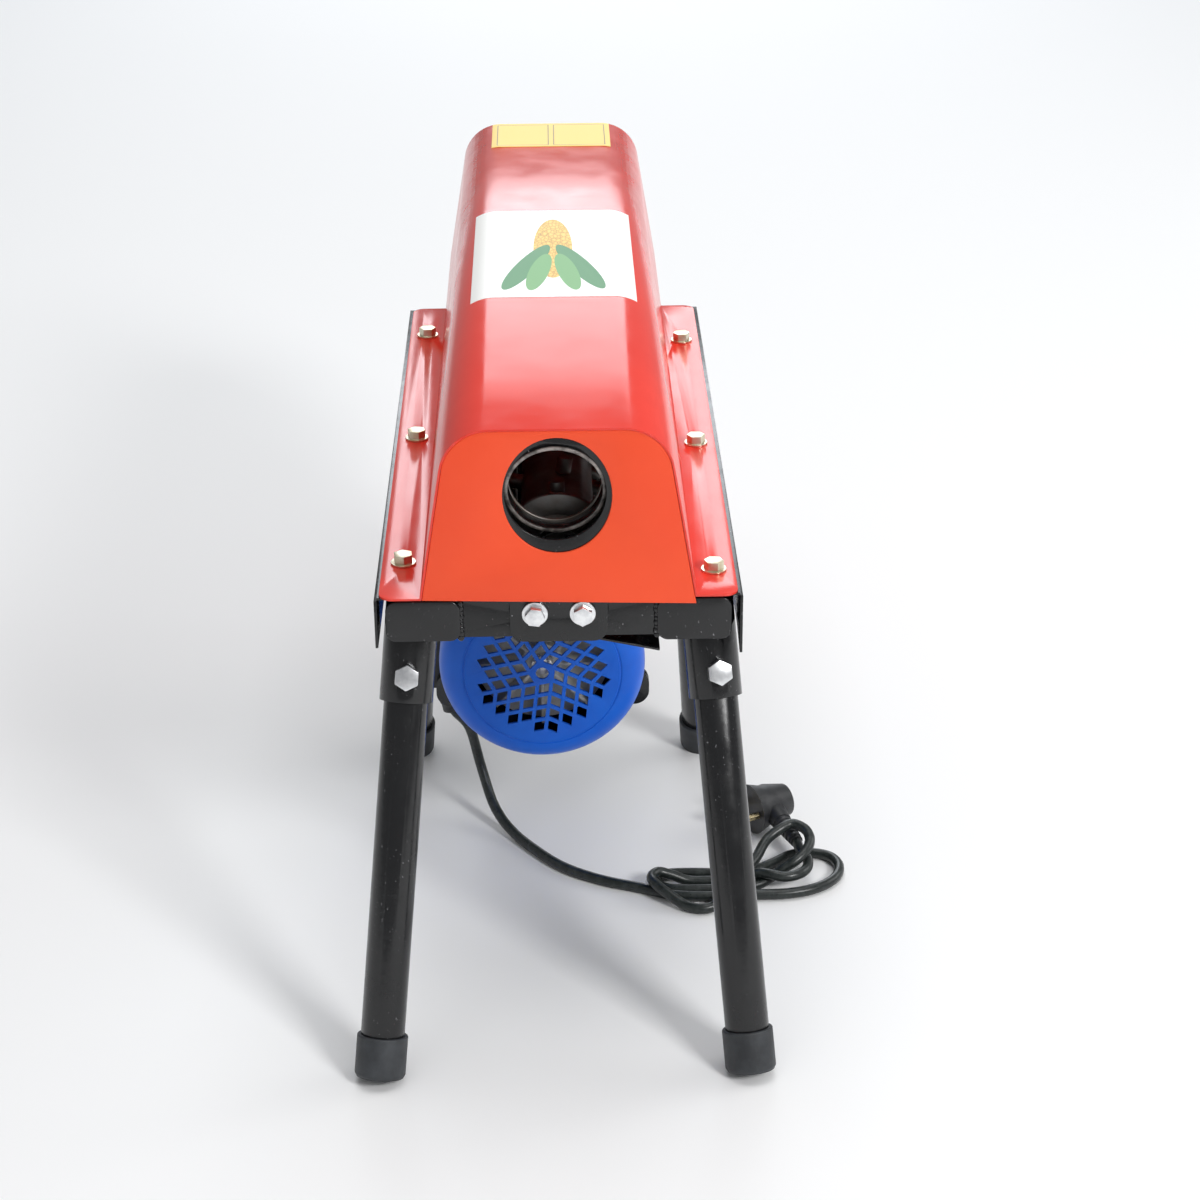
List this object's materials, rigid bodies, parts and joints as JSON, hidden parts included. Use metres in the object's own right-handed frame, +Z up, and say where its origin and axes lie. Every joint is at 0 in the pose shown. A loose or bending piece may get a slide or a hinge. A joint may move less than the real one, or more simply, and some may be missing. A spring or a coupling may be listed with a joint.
{
  "type": "corn sheller",
  "caption": "small household electric corn sheller: long red sheet hood on a black frame with four splayed tube legs, belt drive and hung motor",
  "frame": {"origin": "middle of the footprint, on the floor the four feet stand on", "axes": "+Z up, +Y from the feed mouth towards the rear, +X to the right seen from the feed mouth"},
  "size_m": [0.3062, 0.6817, 0.3803],
  "materials": {
    "red_paint": "gloss enamel on sheet steel",
    "black_paint": "gloss black enamel with scuffs",
    "screw_zinc": "yellow zinc plate",
    "bolt_zinc": "bright zinc plate",
    "bright_steel": "ground steel",
    "raw_steel": "plain mild steel",
    "cast_grey": "turned cast iron",
    "copper": "varnished copper winding",
    "blue_plastic": "semi-gloss moulded plastic",
    "black_plastic": "satin moulded plastic",
    "fan_plastic": "moulded nylon",
    "label_white": "printed film",
    "label_yellow": "printed film",
    "foot_rubber": "matt rubber",
    "belt_rubber": "matt rubber and cloth",
    "cord_sheath": "soft sheath",
    "pin_brass": "polished"
  },
  "bodies": {
    "machine": {"hood": "red_paint", "front_plate": "red_paint", "hood_screws": "screw_zinc", "main_label": "label_white", "rear_label": "label_yellow", "feed_tube": "black_paint", "inlet_plate": "black_paint", "inlet_bolts": "bolt_zinc", "front_cross_member": "black_paint", "front_gussets": "black_paint", "left_rail": "black_paint", "right_rail": "black_paint", "rear_cross_member": "black_paint", "cage_front_plate": "raw_steel", "cage_rear_plate": "raw_steel", "front_bearing": "bright_steel", "rear_bearing": "bright_steel", "concave_rods": "raw_steel", "concave_hoops": "raw_steel", "kernel_chute": "black_paint", "cob_chute": "black_paint", "front_crossbar": "black_paint", "rear_crossbar": "black_paint", "motor_plate": "black_paint", "motor_bolts": "bolt_zinc", "motor_feet": "black_paint", "motor_shell": "black_paint", "motor_front_shield": "black_paint", "motor_rear_shield": "black_paint", "stator": "copper", "fan_cover": "blue_plastic", "terminal_box": "black_plastic", "terminal_lid": "black_plastic", "cable_gland": "black_plastic", "front_left_socket": "black_paint", "front_right_socket": "black_paint", "rear_left_socket": "black_paint", "rear_right_socket": "black_paint", "front_left_leg": "black_paint", "front_right_leg": "black_paint", "rear_left_leg": "black_paint", "rear_right_leg": "black_paint", "front_left_cap": "foot_rubber", "front_right_cap": "foot_rubber", "rear_left_cap": "foot_rubber", "rear_right_cap": "foot_rubber", "leg_bolts": "bolt_zinc", "v_belt": "belt_rubber", "power_cord": "cord_sheath", "plug": "black_plastic", "plug_pins": "pin_brass"},
    "rotor": {"rotor_shaft": "bright_steel", "rotor_drum": "raw_steel", "rotor_studs": "raw_steel", "rotor_pulley": "cast_grey"},
    "motor_rotor": {"motor_shaft": "bright_steel", "motor_fan": "fan_plastic", "motor_rotor_core": "bright_steel", "motor_pulley": "cast_grey"}
  },
  "joints": [
    {"name": "rotor_spin", "type": "hinge", "parent": "machine", "child": "rotor", "pos_m": [0, 0, 0.294], "axis": [0, 1, 0], "continuous": true},
    {"name": "motor_spin", "type": "hinge", "parent": "machine", "child": "motor_rotor", "pos_m": [-0.011, 0, 0.136], "axis": [0, 1, 0], "continuous": true}
  ],
  "couplings": [
    {"joint": "motor_spin", "follows": "rotor_spin", "ratio": 1.6}
  ]
}
